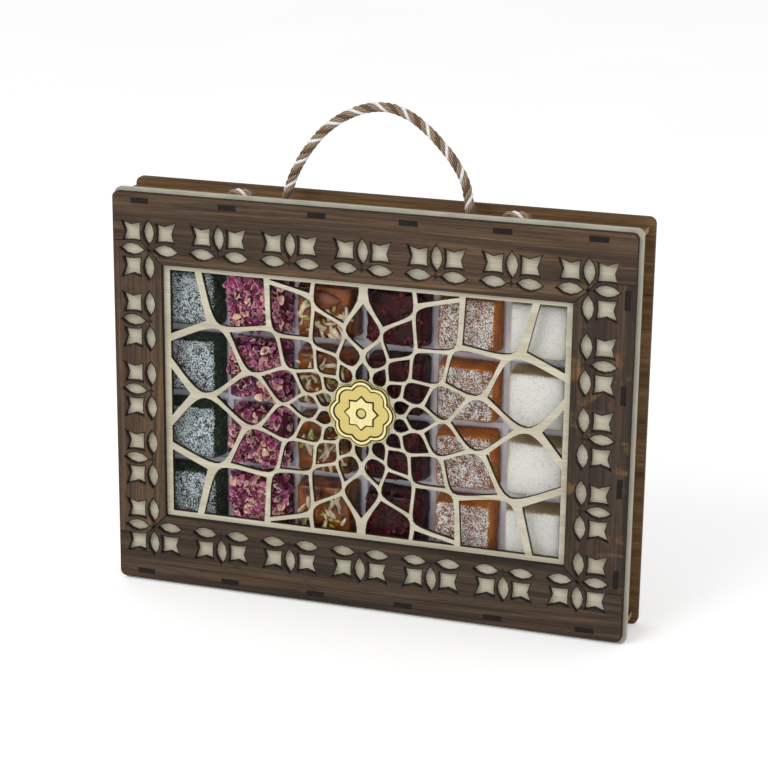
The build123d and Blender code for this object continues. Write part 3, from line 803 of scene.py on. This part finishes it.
def petal_paint(name, dark, light, pale):
    """A petal's colour, which turns pale towards its sides and its tip."""
    paint = Paint(name, roughness=0.5, Sheen_Weight=0.15)
    place = paint.add("UVMap").outputs[0]
    across = paint.math("ABSOLUTE", paint.math("SUBTRACT", paint.part(place, "X"), 0.5))
    reach = paint.math("MAXIMUM", across, paint.math("MULTIPLY", paint.part(place, "Y"), 0.5))
    grain = paint.noise(500, 3)
    reach = paint.math("ADD", reach, paint.off_middle(grain, 0.22))
    body = paint.ramp(grain, (0.3, dark), (0.7, light))
    paint.set(Base_Color=paint.mix(paint.ramp(reach, (0.4, 0.0), (0.5, 1.0)), body, pale))
    paint.bump(grain, 0.3, 0.3 * MM)
    return paint.material


def scatter_petals():
    """Petals on the front, and fewer on the right side and the top, of each rose sweet, with pale
    threads on the front."""
    rng = random.Random("petals")
    bm = bmesh.new()
    uv = bm.loops.layers.uv.new("UVMap")
    inset, sunk, ahead = 2 * MM, 1 * MM, (0.9 * MM, -0.6 * MM)
    thread_inset, thread_ahead = 3 * MM, (0.8 * MM, 1.4 * MM)
    for low, high in sweet_boxes("sweets_magenta"):
        for side, count in PETALS.items():
            for _ in range(count):
                place = place_on(side, low, high, rng, inset, sunk, ahead)
                index = rng.choices((0, 1, 2, 3), (4, 5, 4, 4))[0]
                add_petal(bm, uv, place, rng, rng.uniform(2.6, 5.8) * MM, index, FACING[side])
        for _ in range(THREADS):
            place = Vector((rng.uniform(low.x + thread_inset, high.x - thread_inset),
                            low.y - rng.uniform(*thread_ahead),
                            rng.uniform(low.z + thread_inset, high.z - thread_inset)))
            length, width = rng.uniform(1.8, 4.2) * MM, rng.uniform(0.4, 0.7) * MM
            add_shred(bm, place, rng, length, width, 4)
    paints = [
        petal_paint("petal_plum", srgb(66, 10, 52), srgb(124, 28, 94), srgb(160, 60, 124)),
        petal_paint("petal_magenta", srgb(134, 24, 96), srgb(184, 50, 134), srgb(238, 168, 176)),
        petal_paint("petal_pink", srgb(190, 78, 138), srgb(226, 128, 168), srgb(255, 230, 214)),
        petal_paint("petal_cream", srgb(224, 158, 142), srgb(250, 214, 186), srgb(255, 246, 226)),
        plain("petal_thread", srgb(222, 156, 160), srgb(255, 236, 214), 0.5, 500),
    ]
    finish_piece("rose_petals", bm, paints, "drawer")


def add_seed(bm, place, turn, size, index, pointed=1.0, rows=5, sides=6):
    """A rounded seed or berry. A pointed value under 1 draws one end out."""
    length, width, thick = size
    rings = []
    for i in range(rows + 1):
        u = i / rows
        round_by = max(math.sin(math.pi * u ** pointed), 0.02) ** 0.75 / 2
        ring = []
        for k in range(sides):
            t = FULL_TURN * k / sides
            point = Vector(((u - 0.5) * length, round_by * thick * math.sin(t),
                            round_by * width * math.cos(t)))
            ring.append(bm.verts.new(place + turn @ point))
        rings.append(ring)
    for a, b in zip(rings, rings[1:]):
        for k in range(sides):
            n = (k + 1) % sides
            face = bm.faces.new((a[k], b[k], b[n], a[n]))
            face.material_index = index
            face.smooth = True


def scatter_berries():
    """Small dried red berries pressed into the dark sweets, on the sides that show."""
    rng = random.Random("berries")
    bm = bmesh.new()
    inset, sunk, ahead = 2.5 * MM, 1.6 * MM, (0, -0.6 * MM)
    for low, high in sweet_boxes("sweets_maroon"):
        for side, count in BERRIES.items():
            for _ in range(count):
                place = place_on(side, low, high, rng, inset, sunk, ahead)
                turn = Euler([rng.uniform(0, math.pi) for _ in range(3)]).to_matrix()
                length, width = rng.uniform(2.4, 4.8) * MM, rng.uniform(1.5, 2.5) * MM
                index = rng.choices((0, 1), (3, 2))[0]
                add_seed(bm, place, turn, (length, width, width), index)
    paints = [plain("berry_dark", srgb(32, 5, 7), srgb(74, 12, 16), 0.3, 700,
                    Specular_IOR_Level=0.3),
              plain("berry_red", srgb(66, 8, 12), srgb(134, 22, 30), 0.25, 700,
                    Specular_IOR_Level=0.4)]
    finish_piece("dried_berries", bm, paints, "drawer")


def scatter_nuts():
    """Almond flakes, pistachio bits and one whole almond, half set in the amber jelly. The bits of
    the top sweet lie below its almond."""
    rng = random.Random("nuts")
    bm = bmesh.new()
    inset, almond_room = 4 * MM, 14 * MM
    for number, (low, high) in enumerate(sweet_boxes("sweets_amber")):
        for _ in range(NUTS if number else NUTS_BY_ALMOND):
            index = rng.choices((0, 1), (3, 2))[0]
            from_top = inset if number else almond_room
            place = Vector((rng.uniform(low.x + inset, high.x - inset),
                            low.y + rng.uniform(-0.5, 0.6) * MM,
                            rng.uniform(low.z + inset, high.z - from_top)))
            length = rng.uniform(2.6, 5.5) if index else rng.uniform(6, 12)
            width = rng.uniform(1.6, 2.8) if index else rng.uniform(1.6, 3.4)
            thick = rng.uniform(0.8, 1.4)
            add_shred(bm, place, rng, length * MM, width * MM, index, thick * MM)
        if number == 0:
            middle = (low + high) / 2
            place = Vector((middle.x, low.y, middle.z + ALMOND_UP))
            add_seed(bm, place, Matrix.Identity(3), ALMOND_SIZE, 2, ALMOND_POINTED, 12, 16)
    bmesh.ops.recalc_face_normals(bm, faces=bm.faces[:])
    paints = [plain("almond_flake", srgb(196, 172, 128), srgb(244, 232, 204), 0.45),
              plain("pistachio", srgb(120, 122, 36), srgb(184, 182, 88), 0.45),
              plain("almond_skin", srgb(84, 38, 14), srgb(140, 72, 30), 0.4, 160)]
    finish_piece("nut_slivers", bm, paints, "drawer")


# Stage

def background_rays(tree):
    """1 for the rays that show the background, straight or in metal and glass, and 0 for others."""
    rays = tree.nodes.new("ShaderNodeLightPath").outputs
    seen = rays["Is Camera Ray"]
    for kind in ("Is Glossy Ray", "Is Transmission Ray"):
        either = tree.nodes.new("ShaderNodeMath")
        either.operation = "MAXIMUM"
        tree.links.new(seen, either.inputs[0])
        tree.links.new(rays[kind], either.inputs[1])
        seen = either.outputs[0]
    return seen


def make_stage():
    bpy.ops.mesh.primitive_plane_add(size=FLOOR_SIZE, location=(0, FLOOR_BACK, 0))
    floor = bpy.context.object
    floor.name = "floor"
    paint = Paint("floor", roughness=0.9, Specular_IOR_Level=0.0)
    grey, pale = (0.86, 0.86, 0.86, 1), (0.9, 0.9, 0.9, 1)
    glow = paint.math("MULTIPLY", background_rays(paint.tree), FLOOR_GLOW)
    paint.set(Base_Color=paint.ramp(paint.noise(3, 1), (0, grey), (1, pale)),
              Emission_Color=(1, 1, 1, 1), Emission_Strength=glow)
    floor.data.materials.append(paint.material)

    world = bpy.data.worlds.new("studio")
    bpy.context.scene.world = world
    world.use_nodes = True
    tree = world.node_tree
    soft = tree.nodes["Background"]
    white = tree.nodes.new("ShaderNodeBackground")
    for light, strength in ((soft, WORLD_LIGHT), (white, 1.0)):
        light.inputs["Color"].default_value = (1, 1, 1, 1)
        light.inputs["Strength"].default_value = strength
    mix = tree.nodes.new("ShaderNodeMixShader")
    tree.links.new(background_rays(tree), mix.inputs[0])
    tree.links.new(soft.outputs[0], mix.inputs[1])
    tree.links.new(white.outputs[0], mix.inputs[2])
    tree.links.new(mix.outputs[0], tree.nodes["World Output"].inputs[0])

    for name, (place, size, power) in LAMPS.items():
        lamp = bpy.data.lights.new(name, "AREA")
        lamp.size = size
        lamp.energy = power
        aim = Vector(LAMP_AIM) - Vector(place)
        holder = bpy.data.objects.new(name, lamp)
        holder.location = place
        holder.rotation_euler = aim.to_track_quat("-Z", "Y").to_euler()
        bpy.context.scene.collection.objects.link(holder)


def make_camera():
    lens = bpy.data.cameras.new("camera")
    lens.lens = LENS
    lens.sensor_width = SENSOR
    lens.clip_start = NEAREST
    lens.clip_end = FARTHEST
    holder = bpy.data.objects.new("camera", lens)
    holder.location = CAMERA_PLACE
    holder.rotation_euler = [math.radians(a) for a in CAMERA_TURN]
    bpy.context.scene.collection.objects.link(holder)
    bpy.context.scene.camera = holder


make_camera()
make_ropes()
dress_boards()
dress_plastic()
dress_medallion()
cut_lines_with_shade()
make_blocks()
scatter_coconut()
scatter_petals()
scatter_berries()
scatter_nuts()
make_stage()
bpy.context.scene.view_settings.view_transform = "Standard"
